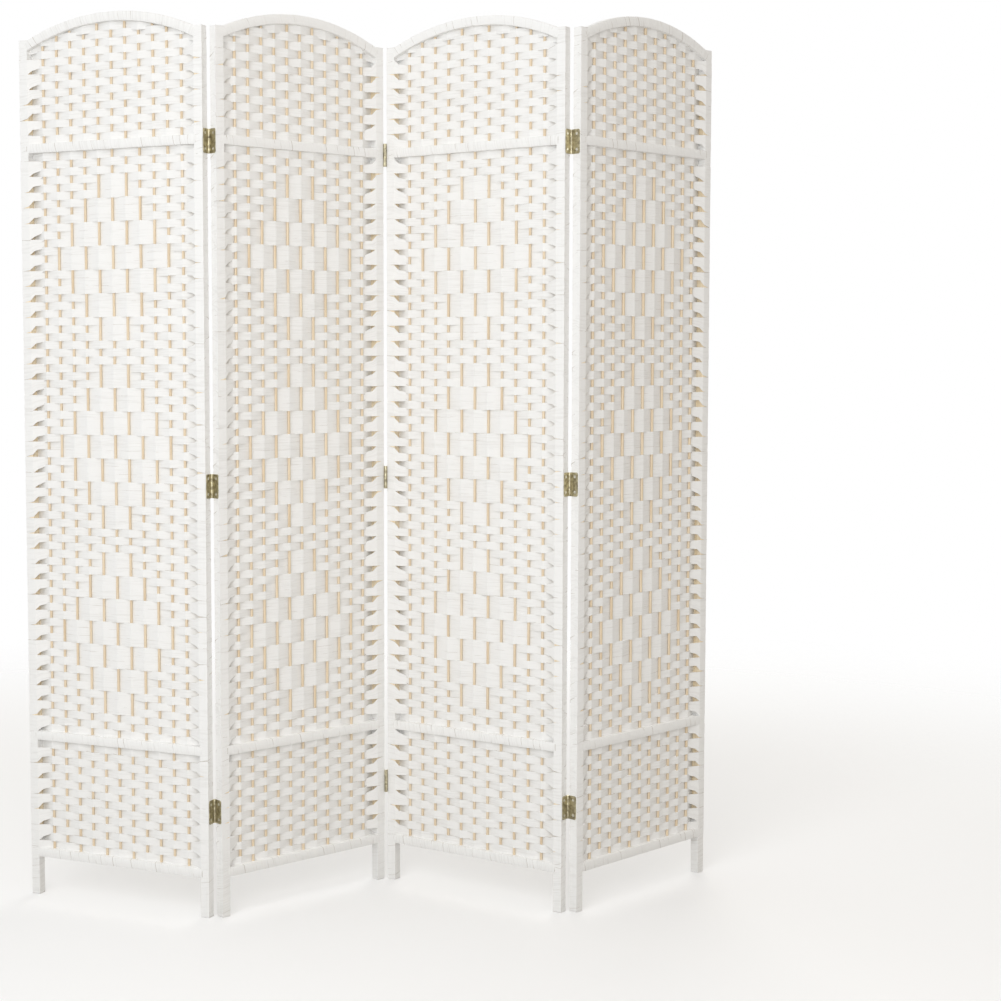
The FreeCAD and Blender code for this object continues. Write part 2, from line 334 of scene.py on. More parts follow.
def paperFinish():  # flat white paper strip, creased along its length, with painted shade in its crease hollows and along the seams at its edges
    look = paperLook
    finish = Finish("whitePaperStrip", Specular_IOR_Level=look["specular"])
    along, across, tone, edging = (finish.attribute(name) for name in ("along", "across", "tone", "edging"))

    def spot(length, count):
        vector = finish.add("ShaderNodeCombineXYZ", {
            "X": finish.calc("DIVIDE", along, length),
            "Y": finish.calc("MULTIPLY", across, count),
            "Z": finish.calc("MULTIPLY", tone, look["stripsApart"])})
        return vector.outputs[0]
    crease = finish.noise(spot(look["creaseLength"], look["creasesAcross"]), 1.0)
    fibre = finish.noise(spot(look["fibreLength"], look["fibresAcross"]), 1.0)
    # painted shade: the colour runs from dull in the crease hollows, where the bump is low, to bright on the
    # crease ridges; the share from tone is the paper's own slight difference from strip to strip
    shade = finish.calc("MULTIPLY_ADD", crease, look["creaseShare"],
                        finish.calc("MULTIPLY", tone, look["toneShare"]))
    plain = finish.ramp(shade, [(look["dullAt"], look["dull"]), (look["brightAt"], look["bright"])])
    # painted shade: strip edges darken towards the edge colour in stretches picked by noise, standing for the
    # shadow lines at the seams between overlapping strips
    brink = finish.add("ShaderNodeMapRange", {
        "Value": finish.calc("ABSOLUTE", across), "From Min": finish.calc("SUBTRACT", 0.5, edging),
        "From Max": 0.5, "To Max": look["edgeShade"]})
    shown = finish.add("ShaderNodeMapRange", {
        "Value": finish.noise(spot(look["edgeLength"], look["edgesAcross"]), 1.0),
        "From Min": look["edgeShows"][0], "From Max": look["edgeShows"][1]})
    worn = finish.calc("MULTIPLY", brink.outputs["Result"], shown.outputs["Result"])
    finish.colour(finish.blend(worn, plain, (*look["edge"], 1.0)))
    finish.roughness(fibre, *look["roughness"])
    finish.bump(finish.calc("MULTIPLY_ADD", fibre, look["fibreBump"], crease), *look["bump"])
    return finish.material


rodLook = {  # thin sawn hardwood
    "pale": (0.82, 0.69, 0.51),
    "deep": (0.67, 0.52, 0.345),
    "paleAt": 0.56,
    "deepAt": 0.32,
    "grain": (900.0, 900.0, 14.0),
    "detail": 4.0,
    "specular": 0.3,
    "roughness": (0.5, 0.75),
    "bump": (0.35, 0.3 * mm),
}
postLook = {  # bare pine, seen in the gaps between the strips
    "pale": (0.93, 0.81, 0.61),
    "deep": (0.83, 0.68, 0.46),
    "paleAt": 0.6,
    "deepAt": 0.35,
    "grain": (260.0, 260.0, 9.0),
    "detail": 5.0,
    "specular": 0.3,
    "roughness": (0.55, 0.8),
    "bump": (0.3, 0.4 * mm),
}


def woodFinish(name, look):
    finish = Finish(name, Specular_IOR_Level=look["specular"])
    grain = finish.noise(finish.stretched(look["grain"]), 1.0, look["detail"])
    finish.colour(finish.ramp(grain, [(look["deepAt"], look["deep"]), (look["paleAt"], look["pale"])]))
    finish.roughness(grain, *look["roughness"])
    finish.bump(grain, *look["bump"])
    return finish.material


brassLook = {
    "bright": (0.58, 0.53, 0.37),
    "tarnish": (0.25, 0.22, 0.15),
    "brightAt": 0.62,
    "tarnishAt": 0.3,
    "patches": 160.0,
    "patchDetail": 5.0,
    "brushing": (2600.0, 2600.0, 90.0),
    "brushDetail": 2.0,
    "roughness": (0.3, 0.55),
    "bump": (0.12, 0.2 * mm),
}


def brassFinish():  # aged brass plate with dull patches
    look = brassLook
    finish = Finish("agedBrass", Metallic=1.0)
    patches = finish.noise(finish.stretched(), look["patches"], look["patchDetail"])
    brushing = finish.noise(finish.stretched(look["brushing"]), 1.0, look["brushDetail"])
    stops = [(look["tarnishAt"], look["tarnish"]), (look["brightAt"], look["bright"])]
    finish.colour(finish.ramp(patches, stops))
    finish.roughness(brushing, *look["roughness"])
    finish.bump(brushing, *look["bump"])
    return finish.material


steelLook = {
    "bright": (0.92, 0.91, 0.87),
    # the darker colour is the plating worn through in patches, the brighter one is plating left whole
    "worn": (0.66, 0.64, 0.57),
    "brightAt": 0.6,
    "wornAt": 0.32,
    "patches": 420.0,
    "patchDetail": 4.0,
    "roughness": (0.45, 0.25),
}


def steelFinish():  # plated screws
    look = steelLook
    finish = Finish("platedSteel", Metallic=1.0)
    patches = finish.noise(finish.stretched(), look["patches"], look["patchDetail"])
    finish.colour(finish.ramp(patches, [(look["wornAt"], look["worn"]), (look["brightAt"], look["bright"])]))
    finish.roughness(patches, *look["roughness"])
    return finish.material


paper = paperFinish()
rodWood = woodFinish("tanRodWood", rodLook)
postWood = woodFinish("postPine", postLook)
brass = brassFinish()
steel = steelFinish()
print("finishes made")


# paper strip: a flat closed ribbon swept along a path, with its own creases

ribbonPoints = 8
ribbonLook = {  # the run of creases and edges, and how far one strip's differ from the next one's
    "startsApart": 0.37,
    "creaseLength": 0.035,
    "creasesAcross": 3.0,
    "creasesApart": 61.0,
    "flutterLength": 0.03,
    "flutterAcross": 0.6,
    "flutterApart": 83.0,
}


def ribbonProfile(tree, width, thickness, lean):
    half = ribbonPoints // 2
    index = tree.add("GeometryNodeInputIndex")
    far = tree.calc("GREATER_THAN", index, half - 0.5)
    step = tree.mix(index, 2 * half - 1 - index, far)
    height = 0.5 - step / (half - 1)
    spot = tree.vector((0.5 - far) * thickness - lean * height, height * width * -1.0, 0.0)
    points = tree.add("GeometryNodePoints", {"Count": ribbonPoints, "Position": spot})
    marked = tree.keep(points, "across", height)
    curve = tree.add("GeometryNodePointsToCurves", {"Points": marked})
    return tree.add("GeometryNodeSetSplineCyclic", {"Geometry": curve, "Cyclic": True})


def sweepRibbon(tree, path, profile, key, crumple, flutter, seed, spread, lift, edging):
    look = ribbonLook
    x, y, rise = tree.split(tree.add("GeometryNodeInputPosition"))
    flat = tree.add("GeometryNodeSetPosition", {
        "Geometry": tree.keep(path, "rise", rise), "Position": tree.vector(x, y, 0.0)})
    upright = tree.add("GeometryNodeSetCurveNormal", {"Curve": flat}, mode="Z_UP")
    length = tree.add("GeometryNodeSplineParameter", out="Length")
    sideways = tree.add("GeometryNodeInputNormal")
    line = tree.keep(upright, "along", length + key * look["startsApart"])
    line = tree.keep(line, "sideways", sideways, "FLOAT_VECTOR")
    line = tree.keep(line, "tone", 0.5 + tree.chance(0.5, key, seed))
    line = tree.keep(line, "edging", edging)
    ribbon = tree.add("GeometryNodeCurveToMesh", {"Curve": line, "Profile Curve": profile, "Fill Caps": True})
    along, across, tone = (tree.kept(name) for name in ("along", "across", "tone"))
    crease = tree.noise(along / look["creaseLength"], across * look["creasesAcross"],
                        tone * look["creasesApart"]) * crumple
    wander = tree.noise(along / look["flutterLength"], tone * look["flutterApart"],
                        across * look["flutterAcross"]) * flutter
    push = tree.add("ShaderNodeVectorMath",
                    {"Vector": tree.kept("sideways", "FLOAT_VECTOR"), "Scale": crease}, operation="SCALE")
    moved = tree.add("GeometryNodeSetPosition", {"Geometry": ribbon, "Offset": push})
    raised = tree.calc("MULTIPLY_ADD", across + lift, spread, wander) + tree.kept("rise")
    return tree.add("GeometryNodeSetPosition", {"Geometry": moved, "Offset": tree.vector(0.0, 0.0, raised)})


def smoothPath(tree, points, key, order, steps):
    line = tree.add("GeometryNodePointsToCurves", {"Points": points, "Curve Group ID": key, "Weight": order})
    line = tree.add("GeometryNodeCurveSplineType", {"Curve": line}, spline_type="CATMULL_ROM")
    line = tree.add("GeometryNodeSetSplineResolution", {"Geometry": line, "Resolution": steps})
    return tree.add("GeometryNodeResampleCurve", {"Curve": line}, mode="EVALUATED")


# the weaving: every row passes the rods on alternate sides and turns round both posts

weaveLook = {
    "rods": 11,
    "stripOverPitch": 1.05,
    "stripThickness": 0.6 * mm,
    "swing": 2.9 * mm,
    "fold": 1.0 * mm,
    "inset": 0.3 * mm,
    "lap": 0.32 * mm,
    "spread": 0.97,
    "edgeSpread": 0.85,
    "innerSpread": 0.3,
    "unevenSpread": 0.2,
    "innerUneven": 1.6,
    "jitter": 0.55 * mm,
    "crumple": 0.3 * mm,
    "flutter": 0.42 * mm,
    "squeeze": 5.0 * mm,
    "diamondStart": 3,
    "diamondRows": 21,
    "plainRows": 3,
    "blockRows": 3,
    "diamondReach": 4,
    # edging: width of the painted seam shade at each strip edge, as a share of the strip's width
    "crispFold": 0.14,
    "edging": 0.035,
    "corner": 0.97,
    "innerCorner": 0.95,
    "clear": 1.9,
    "clearDepth": 0.6,
    "sideSpread": 0.6,
    "postCalm": 0.5,
    "seedStep": 10,
}
wrapStops = 5  # points of a row round a post and off its inner edge
rodStops = 3  # points at a rod: before and after its fold, and half-way to the next rod


def weaveTree():
    look = weaveLook
    tree = Tree("wovenStrips", [
        "Row pitch", "First row", "Span", "Rod pitch", "Swing", "Fold", "Post half", "Inset", "Lap", "Spread",
        "Edge spread", "Inner spread", "Uneven spread", "Left fan", "Right fan", "Strip width",
        "Strip thickness", "First side", "Diamonds", "Arch radius", "Arch centre", "Arch half", "Arch foot",
        "Squeeze", "Jitter", "Crumple", "Flutter"],
        {"Rows": "Int", "Rods": "Int", "Seed": "Int", "Paper": "Material"})
    half, span, rods, pitch = tree["Post half"], tree["Span"], tree["Rods"], tree["Rod pitch"]
    perRow = rods * rodStops - 1 + 2 * wrapStops
    index = tree.add("GeometryNodeInputIndex")
    row = tree.calc("FLOOR", (index + 0.5) / perRow)
    stop = index - row * perRow
    fromEnd = tree.calc("MINIMUM", stop, perRow - 1 - stop)
    hand = tree.calc("SIGN", stop - (perRow - 1) / 2)
    onPost = tree.calc("LESS_THAN", fromEnd, wrapStops - 0.5)
    rod = tree.calc("FLOOR", (stop - wrapStops + 0.5) / rodStops) + 1
    part = stop - wrapStops - (rod - 1) * rodStops

    def parity(number):  # 1 on even numbers, -1 on odd ones
        return 1 - 2 * tree.calc("FLOORED_MODULO", number, 2.0)

    # inside a diamond the middle row of a block joins its neighbours, nearer the middle in the end blocks
    cycle = look["diamondRows"] + look["plainRows"]
    inCycle = tree.calc("FLOORED_MODULO", row - look["diamondStart"], float(cycle))
    block = tree.calc("FLOOR", (inCycle + 0.5) / look["blockRows"])
    inBlock = inCycle - block * look["blockRows"]
    blocks = look["diamondRows"] // look["blockRows"]
    reach = look["diamondReach"] - tree.calc("ABSOLUTE", block - (blocks - 1) / 2)
    joined = tree.calc("COMPARE", inBlock, 1.0, 0.1) * tree["Diamonds"]
    joined = joined * tree.calc("LESS_THAN", inCycle, look["diamondRows"] - 0.5)

    def sideAt(column):  # -1 in front of a rod, 1 behind it
        near = tree.calc("LESS_THAN", tree.calc("ABSOLUTE", column - (rods + 1) / 2), reach + 0.5)
        return tree["First side"] * parity(row + column) * (1 - 2 * joined * near)
    here, there = sideAt(rod), sideAt(rod + 1)
    sideAtPost = tree["First side"] * parity(row)

    # each strip fans out over a post's face, and a gap stays open beside the next strip on that face
    laid = half - tree["Inset"]
    outward = tree.pick(fromEnd, [laid - tree["Lap"], laid + tree["Lap"], half * look["corner"],
                                  half * -look["innerCorner"], half * -look["clear"]])
    depth = tree.pick(fromEnd, [half * -look["innerCorner"], half * look["corner"], laid, laid,
                                half * look["clearDepth"]])
    rowEnd = row * 2 + (hand + 1) / 2
    uneven = tree.chance(1.0, rowEnd, tree["Seed"] + 1) * tree["Uneven spread"]
    fan = tree.pick(fromEnd, [0.0, tree["Spread"] * look["sideSpread"], tree["Spread"],
                              tree["Edge spread"] + uneven,
                              tree["Inner spread"] + uneven * look["innerUneven"]])
    lift = tree.mix(tree["Left fan"], tree["Right fan"], (hand + 1) / 2)
    spread = fan * tree["Strip width"] * onPost
    beside = tree.pick(part, [tree["Fold"] * -1.0, tree["Fold"], pitch / 2])
    x = tree.mix(half + rod * pitch + beside, span * (hand + 1) / 2 + hand * outward, onPost)
    passing = tree.pick(part, [here, here, (here + there) / 2])
    y = tree.mix(passing * tree["Swing"], sideAtPost * depth, onPost)
    level = tree["First row"] + row * tree["Row pitch"]

    # rows that meet the top rail bend a little along it and end inside it
    off = tree.calc("ABSOLUTE", x - span / 2)
    last = tree.calc("COMPARE", fromEnd, wrapStops - 1.0, 0.1)

    def archAt(radius, run):
        return tree.calc("SQRT", tree.calc("MAXIMUM", radius * radius - run * run, 0.0))
    chord = archAt(tree["Arch radius"], level - tree["Arch centre"])
    high = tree.calc("GREATER_THAN", level, tree["Arch foot"])
    beyond = tree.calc("GREATER_THAN", off, chord) * (1 - last)
    gone = high * tree.calc("MAXIMUM", onPost - last, beyond)
    tucked = high * last
    end = tree.calc("MINIMUM", span / 2, chord)
    x = tree.mix(x, span / 2 + hand * end, tucked)
    room = tree["Arch centre"] + archAt(tree["Arch radius"] - tree["Arch half"], off) - level
    room = tree.calc("MINIMUM", room - tree["Strip width"] / 2, 0.0)
    bent = tree.calc("MAXIMUM", room, tree["Squeeze"] * -1.0)

    loose = tree["Jitter"] * (1 - onPost * look["postCalm"])
    z = level + bent + tree.chance(1.0, tree.mix(index, rowEnd, onPost), tree["Seed"]) * loose
    points = tree.add("GeometryNodePoints", {
        "Count": tree["Rows"] * perRow, "Position": tree.vector(x, y * (1 - tucked), z)})
    points = tree.keep(tree.keep(tree.keep(points, "row", row), "stop", stop), "lift", lift)
    points = tree.keep(points, "spread", spread * (1 - tucked))
    points = tree.add("GeometryNodeDeleteGeometry", {"Geometry": points, "Selection": gone}, domain="POINT")
    key = tree.kept("row")
    path = tree.add("GeometryNodePointsToCurves", {
        "Points": points, "Curve Group ID": key, "Weight": tree.kept("stop")})
    profile = ribbonProfile(tree, tree["Strip width"], tree["Strip thickness"], 0.0)
    strips = sweepRibbon(tree, path, profile, key, tree["Crumple"], tree["Flutter"], tree["Seed"],
                         tree.kept("spread"), tree.kept("lift"), look["edging"])
    tree.end(strips, tree["Paper"], look["crispFold"])
    return tree


weaving = weaveTree()
rodPitch = size["inner"] / (weaveLook["rods"] + 1)
archUnder = size["archRadius"] - size["railHalf"]
archFoot = size["archCentre"] + math.sqrt(archUnder ** 2 - size["inner"] ** 2 / 4)
fields = {  # from, to, diamonds, and for each panel its rows and the first row's side of the first rod
    "lower": (size["bottom"] + size["railHalf"], size["lower"] - size["railHalf"], 0.0,
              [(14, -1.0), (15, 1.0), (14, -1.0), (15, -1.0)]),
    "middle": (size["lower"] + size["railHalf"], size["upper"] - size["railHalf"], 1.0, [(75, 1.0)] * 4),
    "upper": (size["upper"] + size["railHalf"], size["archCentre"] + archUnder, 0.0,
              [(15, -1.0), (14, 1.0), (15, -1.0), (15, 1.0)]),
}
fanUp, fanBoth, fanDown = 0.5, 0.0, -0.5
fans = {  # which way the strips widen on the left and the right post
    "panel_1": (fanDown, fanBoth),
    "panel_2": (fanDown, fanUp),
    "panel_3": (fanUp, fanBoth),
    "panel_4": (fanDown, fanDown),
}


def weavePanel(panel, number):
    look = weaveLook
    for order, (field, (low, high, diamonds, starts)) in enumerate(fields.items()):
        rows, firstSide = starts[number - 1]
        pitch = (high - low) / rows
        piece = grow(f"{panel}_{field}_strips", weaving, {
            "Rows": rows, "Row pitch": pitch, "First row": low + pitch / 2, "Span": size["span"],
            "Rods": look["rods"], "Rod pitch": rodPitch, "Swing": look["swing"], "Fold": look["fold"],
            "Post half": size["postHalf"], "Inset": look["inset"], "Lap": look["lap"],
            "Spread": look["spread"], "Edge spread": look["edgeSpread"], "Inner spread": look["innerSpread"],
            "Uneven spread": look["unevenSpread"], "Left fan": fans[panel][0], "Right fan": fans[panel][1],
            "Strip width": pitch * look["stripOverPitch"], "Strip thickness": look["stripThickness"],
            "First side": firstSide, "Diamonds": diamonds, "Arch radius": size["archRadius"],
            "Arch centre": size["archCentre"], "Arch half": size["railHalf"], "Arch foot": archFoot,
            "Squeeze": look["squeeze"], "Jitter": look["jitter"], "Crumple": look["crumple"],
            "Flutter": look["flutter"], "Seed": number * look["seedStep"] + order,
            "Paper": paper}, places[panel])
        settle(piece, panel, "paper_strip", f"{panel}_{field}_weave")


for number, panel in enumerate(panels, start=1):
    weavePanel(panel, number)
print("strips woven")


# the upright rods

rodShape = {"sides": 10, "stops": 14, "smoothing": 2, "bow": 0.5 * mm}


def rodTree():
    tree = Tree("warpRods", [
        "Rod pitch", "First", "Radius", "Foot", "Middle", "Arch radius", "Arch centre", "Bow"],
        {"Rods": "Int", "Stops": "Int", "Sides": "Int", "Seed": "Int", "Wood": "Material"})
    index = tree.add("GeometryNodeInputIndex")
    rod = tree.calc("FLOOR", (index + 0.5) / tree["Stops"])
    stop = index - rod * tree["Stops"]
    x = tree["First"] + rod * tree["Rod pitch"]
    off = x - tree["Middle"]
    top = tree["Arch centre"] + tree.calc("SQRT", tree["Arch radius"] * tree["Arch radius"] - off * off)
    z = tree["Foot"] + (top - tree["Foot"]) * stop / (tree["Stops"] - 1)
    bowed = tree["Bow"] * tree.chance(1.0, index, tree["Seed"])
    points = tree.add("GeometryNodePoints", {
        "Count": tree["Rods"] * tree["Stops"], "Position": tree.vector(x + bowed, 0.0, z)})
    points = tree.keep(tree.keep(points, "rod", rod), "stop", stop)
    path = smoothPath(tree, points, tree.kept("rod"), tree.kept("stop"), rodShape["smoothing"])
    circle = tree.add("GeometryNodeCurvePrimitiveCircle",
                      {"Resolution": tree["Sides"], "Radius": tree["Radius"]}, mode="RADIUS")
    bars = tree.add("GeometryNodeCurveToMesh", {"Curve": path, "Profile Curve": circle, "Fill Caps": True})
    tree.end(bars, tree["Wood"])
    return tree


rodding = rodTree()
for number, panel in enumerate(panels, start=1):
    piece = grow(f"{panel}_rods", rodding, {
        "Rods": weaveLook["rods"], "Stops": rodShape["stops"], "Sides": rodShape["sides"],
        "Rod pitch": rodPitch, "First": size["postHalf"] + rodPitch, "Radius": size["rodRadius"],
        "Foot": size["rodFoot"],
        "Middle": size["span"] / 2, "Arch radius": size["archRadius"], "Arch centre": size["archCentre"],
        "Bow": rodShape["bow"], "Seed": number, "Wood": rodWood}, places[panel])
    settle(piece, panel, "rod_wood", f"{panel}_warp_rods")
print("rods set")


# flat plates cut to an outline

easing = 0.12 * mm


def joinPieces(name, pieces):
    if len(pieces) > 1:
        with bpy.context.temp_override(active_object=pieces[0], selected_editable_objects=pieces):
            bpy.ops.object.join()
    pieces[0].name = name
    pieces[0].data.name = name
    return pieces[0]


def circleOutline(radius, centre=(0.0, 0.0), count=24):
    angles = [math.tau * k / count for k in range(count)]
    return [(centre[0] + radius * math.cos(angle), centre[1] + radius * math.sin(angle)) for angle in angles]


def squareOutline(half):
    return [(-half, -half), (half, -half), (half, half), (-half, half)]


def plateMesh(outlines, thickness, place):  # closed plate with eased edges; inner outlines are holes
    curve = bpy.data.curves.new("plate", "CURVE")
    curve.dimensions = "2D"
    curve.fill_mode = "BOTH"
    curve.extrude = thickness / 2 - easing
    curve.bevel_depth = easing
    curve.bevel_resolution = 1
    curve.offset = -easing
    for outline in outlines:
        spline = curve.splines.new("POLY")
        spline.points.add(len(outline) - 1)
        for point, (x, y) in zip(spline.points, outline):
            point.co = (x, y, 0.0, 1.0)
        spline.use_cyclic_u = True
    holder = addObject("plate", curve)
    shape = bpy.data.meshes.new_from_object(holder.evaluated_get(bpy.context.evaluated_depsgraph_get()))
    bpy.data.objects.remove(holder)
    shape.transform(place)
    return shape


def solidFrom(name, meshes):
    return joinPieces(name, [addObject(name, shape) for shape in meshes])


# paper wound round the posts, the rails and the top rail

windingLook = {
    "postStrip": 15.5 * mm,
    "postPitch": 13.5 * mm,
    "postWobble": 2.2 * mm,
    "postLean": 0.28 * mm,
    # postEdging and railEdging: width of the painted seam shade at each strip edge
    "postEdging": 0.045,
    "railStrip": 17.0 * mm,
    "railPitch": 14.0 * mm,
    "railWobble": 1.4 * mm,
    "railLean": 0.16 * mm,
    "railEdging": 0.07,
    "thickness": 0.3 * mm,
    "unevenness": 0.05,
    "crumple": 0.1 * mm,
    "flutter": 0.3 * mm,
    "postInset": 0.38 * mm,
    "postSquare": 60.0,
    "railSquare": 7.0,
    "stepsPerTurn": 16,
    "tuck": 4.0 * mm,
    "bandPast": 18.0 * mm,
    "capThickness": 0.9 * mm,
    "wobblePerTurn": 0.9,
    "wobbleApart": 7.3,
    "unevenPerTurn": 1.3,
    "unevenApart": 3.1,
    "unevenFrom": 5.0,
    "leastBend": 1.0 * mm,
    "postSeedStep": 20,
    "railSeedStep": 10,
    "archSeed": 5,
}


def windingTree():
    look = windingLook
    tree = Tree("woundStrip", [
        "Length", "Half", "Squareness", "Pitch", "Strip width", "Thickness", "Lean", "Wobble", "Unevenness",
        "Crumple", "Flutter", "Edging", "Bend radius"],
        {"Steps": "Int", "Seed": "Int", "Paper": "Material"})
    steps, square = tree["Steps"], tree["Squareness"]
    index = tree.add("GeometryNodeInputIndex")
    turn = index / steps
    angle = turn * math.tau
    cosine, sine = tree.calc("COSINE", angle), tree.calc("SINE", angle)
    rounding = (tree.calc("POWER", tree.calc("ABSOLUTE", cosine), square)
                + tree.calc("POWER", tree.calc("ABSOLUTE", sine), square))
    sway = tree.noise(turn * look["wobblePerTurn"], tree["Seed"] * look["wobbleApart"], 0.0)
    wobble = sway * tree["Wobble"]
    room = tree["Length"] - tree["Strip width"]
    rising = tree.calc("CEIL", room / tree["Pitch"])
    climbed = tree.calc("MINIMUM", tree.calc("MAXIMUM", turn - 1, 0.0), rising)
    fromEnd = tree.calc("MINIMUM", climbed, rising - climbed)
    z = tree["Strip width"] / 2 + room * climbed / rising + wobble * tree.calc("MINIMUM", fromEnd, 1.0)
    layer = tree.calc("GREATER_THAN", turn, rising + 1) + tree.calc("GREATER_THAN", turn, 1.0)
    layer = layer * tree["Thickness"] / 2
    radius = (tree["Half"] + layer) / tree.calc("POWER", rounding, tree.calc("DIVIDE", 1.0, square))
    points = tree.add("GeometryNodePoints", {
        "Count": (rising + 2) * steps + 1, "Position": tree.vector(radius * cosine, radius * sine, z)})
    path = tree.add("GeometryNodePointsToCurves", {"Points": tree.keep(points, "turn", turn)})
    turnAt = tree.kept("turn")
    profile = ribbonProfile(tree, tree["Strip width"], tree["Thickness"], tree["Lean"])
    drift = tree.noise(turnAt * look["unevenPerTurn"], tree["Seed"] * look["unevenApart"], look["unevenFrom"])
    uneven = tree["Strip width"] * drift * tree["Unevenness"]
    turns = sweepRibbon(tree, path, profile, tree["Seed"] * 1.0, tree["Crumple"], tree["Flutter"],
                        tree["Seed"], uneven, 0.0, tree["Edging"])
    px, py, pz = tree.split(tree.add("GeometryNodeInputPosition"))
    far = tree.calc("MAXIMUM", tree["Bend radius"], look["leastBend"])
    swing = (pz - tree["Length"] / 2) / far
    bent = tree.vector((far - px) * tree.calc("SINE", swing), py, (far - px) * tree.calc("COSINE", swing))
    bend = tree.calc("GREATER_THAN", tree["Bend radius"], 0.0)
    turns = tree.add("GeometryNodeSetPosition", {"Geometry": turns, "Selection": bend, "Position": bent})
    tree.end(turns, tree["Paper"])
    return tree


winding = windingTree()
lying = Matrix.Rotation(math.radians(90), 4, "Y")


def wind(name, kind, length, half, bend, seed, place):
    look = windingLook
    return grow(name, winding, {
        "Length": length, "Half": half, "Squareness": look[kind + "Square"], "Pitch": look[kind + "Pitch"],
        "Steps": look["stepsPerTurn"], "Strip width": look[kind + "Strip"], "Thickness": look["thickness"],
        "Lean": look[kind + "Lean"], "Wobble": look[kind + "Wobble"], "Unevenness": look["unevenness"],
        "Crumple": look["crumple"], "Flutter": look["flutter"], "Edging": look[kind + "Edging"],
        "Bend radius": bend, "Seed": seed, "Paper": paper}, place)


def windPosts(panel, seed):  # legs, just clear of the floor, bands level with the rails, folded-over tops
    half = size["postHalf"] - windingLook["postInset"]
    past = size["railHalf"] + windingLook["bandPast"]
    bands = [(windingLook["flutter"], size["bottom"] + past), (size["lower"] - past, size["lower"] + past),
             (size["upper"] - past, size["upper"] + past), (archFoot - past, size["postTop"])]
    turns = []
    for x in (0.0, size["span"]):
        for low, high in bands:
            foot = Matrix.Translation((x, 0, low))
            turns.append(wind(f"{panel}_band", "post", high - low, half, 0.0,
                              seed * windingLook["postSeedStep"] + len(turns), places[panel] @ foot))
        top = Matrix.Translation((x, 0, size["postTop"]))
        turns.append(solidFrom(f"{panel}_cap", [plateMesh(
            [squareOutline(half)], windingLook["capThickness"], places[panel] @ top)]))
        turns[-1].data.materials.append(paper)
    settle(joinPieces(f"{panel}_wound_posts", turns), panel, "paper_strip", f"{panel}_post_windings")


def windPanel(panel, seed):
    windPosts(panel, seed)
    place, tuck = places[panel], windingLook["tuck"]
    seed *= windingLook["railSeedStep"]
    for order, rail in enumerate(("bottom", "lower", "upper"), start=1):
        start = Matrix.Translation((size["postHalf"] - tuck, 0, size[rail]))
        bar = wind(f"{panel}_wound_{rail}_rail", "rail", size["inner"] + 2 * tuck, size["railHalf"], 0.0,
                   seed + order, place @ start @ lying)
        settle(bar, panel, "paper_strip", f"{panel}_{rail}_rail")
    sweep = 2 * math.asin(size["inner"] / 2 / size["archRadius"])
    middle = Matrix.Translation((size["span"] / 2, 0, size["archCentre"]))
    bar = wind(f"{panel}_wound_arch", "rail", sweep * size["archRadius"] + 2 * tuck, size["railHalf"],
               size["archRadius"], seed + windingLook["archSeed"], place @ middle)
    settle(bar, panel, "paper_strip", f"{panel}_top_arch")


for number, panel in enumerate(panels, start=1):
    windPanel(panel, number)
    for side in ("left", "right"):
        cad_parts[f"{panel}_{side}_post"].data.materials.clear()
        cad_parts[f"{panel}_{side}_post"].data.materials.append(postWood)
print("frames wound")


# butt hinges: plates and knuckles from flat outlines, repeated up each joint

hingeLook = {
    "thickness": 1.2 * mm,
    "gap": 0.6 * mm,
    "reach": 19.5 * mm,
    "corner": 2.5 * mm,
    "knuckleRadius": 3.0 * mm,
    "pinRadius": 1.45 * mm,
    "play": 0.3 * mm,
    "setback": 12.5 * mm,
    "screwSpread": 29.0 * mm,
    "headRadius": 2.7 * mm,
    "holeRadius": 2.95 * mm,
    "shankRadius": 1.3 * mm,
    "shankLength": 11.0 * mm,
    "shankSides": 16,
    "knuckleSides": 32,
    "pinPlay": 0.05 * mm,
    "headDepth": 0.7 * mm,
    "recessArm": 1.6 * mm,
    "recessHalf": 0.35 * mm,
    "recessFloor": 0.8,
    "recessDrop": 1.45,
}
pinHeights = sorted({round(v.co.z, 4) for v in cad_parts["joint_1_hinge_pins"].data.vertices})
hingeHeight = pinHeights[1] - pinHeights[0]
levels = [(low + high) / 2 for low, high in zip(pinHeights[0::2], pinHeights[1::2])]
zone = hingeHeight / 3


def leafPiece(name, zones):  # the pin stands at the origin, the plate reaches to -y and lies at +x
    look = hingeLook
    half, relief, cut = hingeHeight / 2, look["knuckleRadius"] + look["play"], look["corner"]
    edge = [(-look["reach"] + cut, -half), (-look["reach"], -half + cut), (-look["reach"], half - cut),
            (-look["reach"] + cut, half), (-relief, half)]
    for spot in sorted(zones, reverse=True):
        low, high = spot * zone - zone / 2 + look["play"] / 2, spot * zone + zone / 2 - look["play"] / 2
        edge += [(-relief, min(high, half - look["play"])), (0.0, high), (0.0, low),
                 (-relief, max(low, look["play"] - half))]
    edge.append((-relief, -half))
    holes = [circleOutline(look["holeRadius"], (-look["setback"], hand * look["screwSpread"] / 2))
             for hand in (-1, 1)]
    aside = look["gap"] / 2 + look["thickness"] / 2
    upright = Matrix(((0, 0, 1, aside), (1, 0, 0, 0), (0, 1, 0, 0), (0, 0, 0, 1)))
    meshes = [plateMesh([edge] + holes, look["thickness"], upright)]
    for spot in zones:
        rings = [circleOutline(look["knuckleRadius"], count=look["knuckleSides"]),
                 circleOutline(look["pinRadius"] + look["pinPlay"])]
        meshes.append(plateMesh(rings, zone - look["play"], Matrix.Translation((0, 0, spot * zone))))
    return solidFrom(name, meshes)


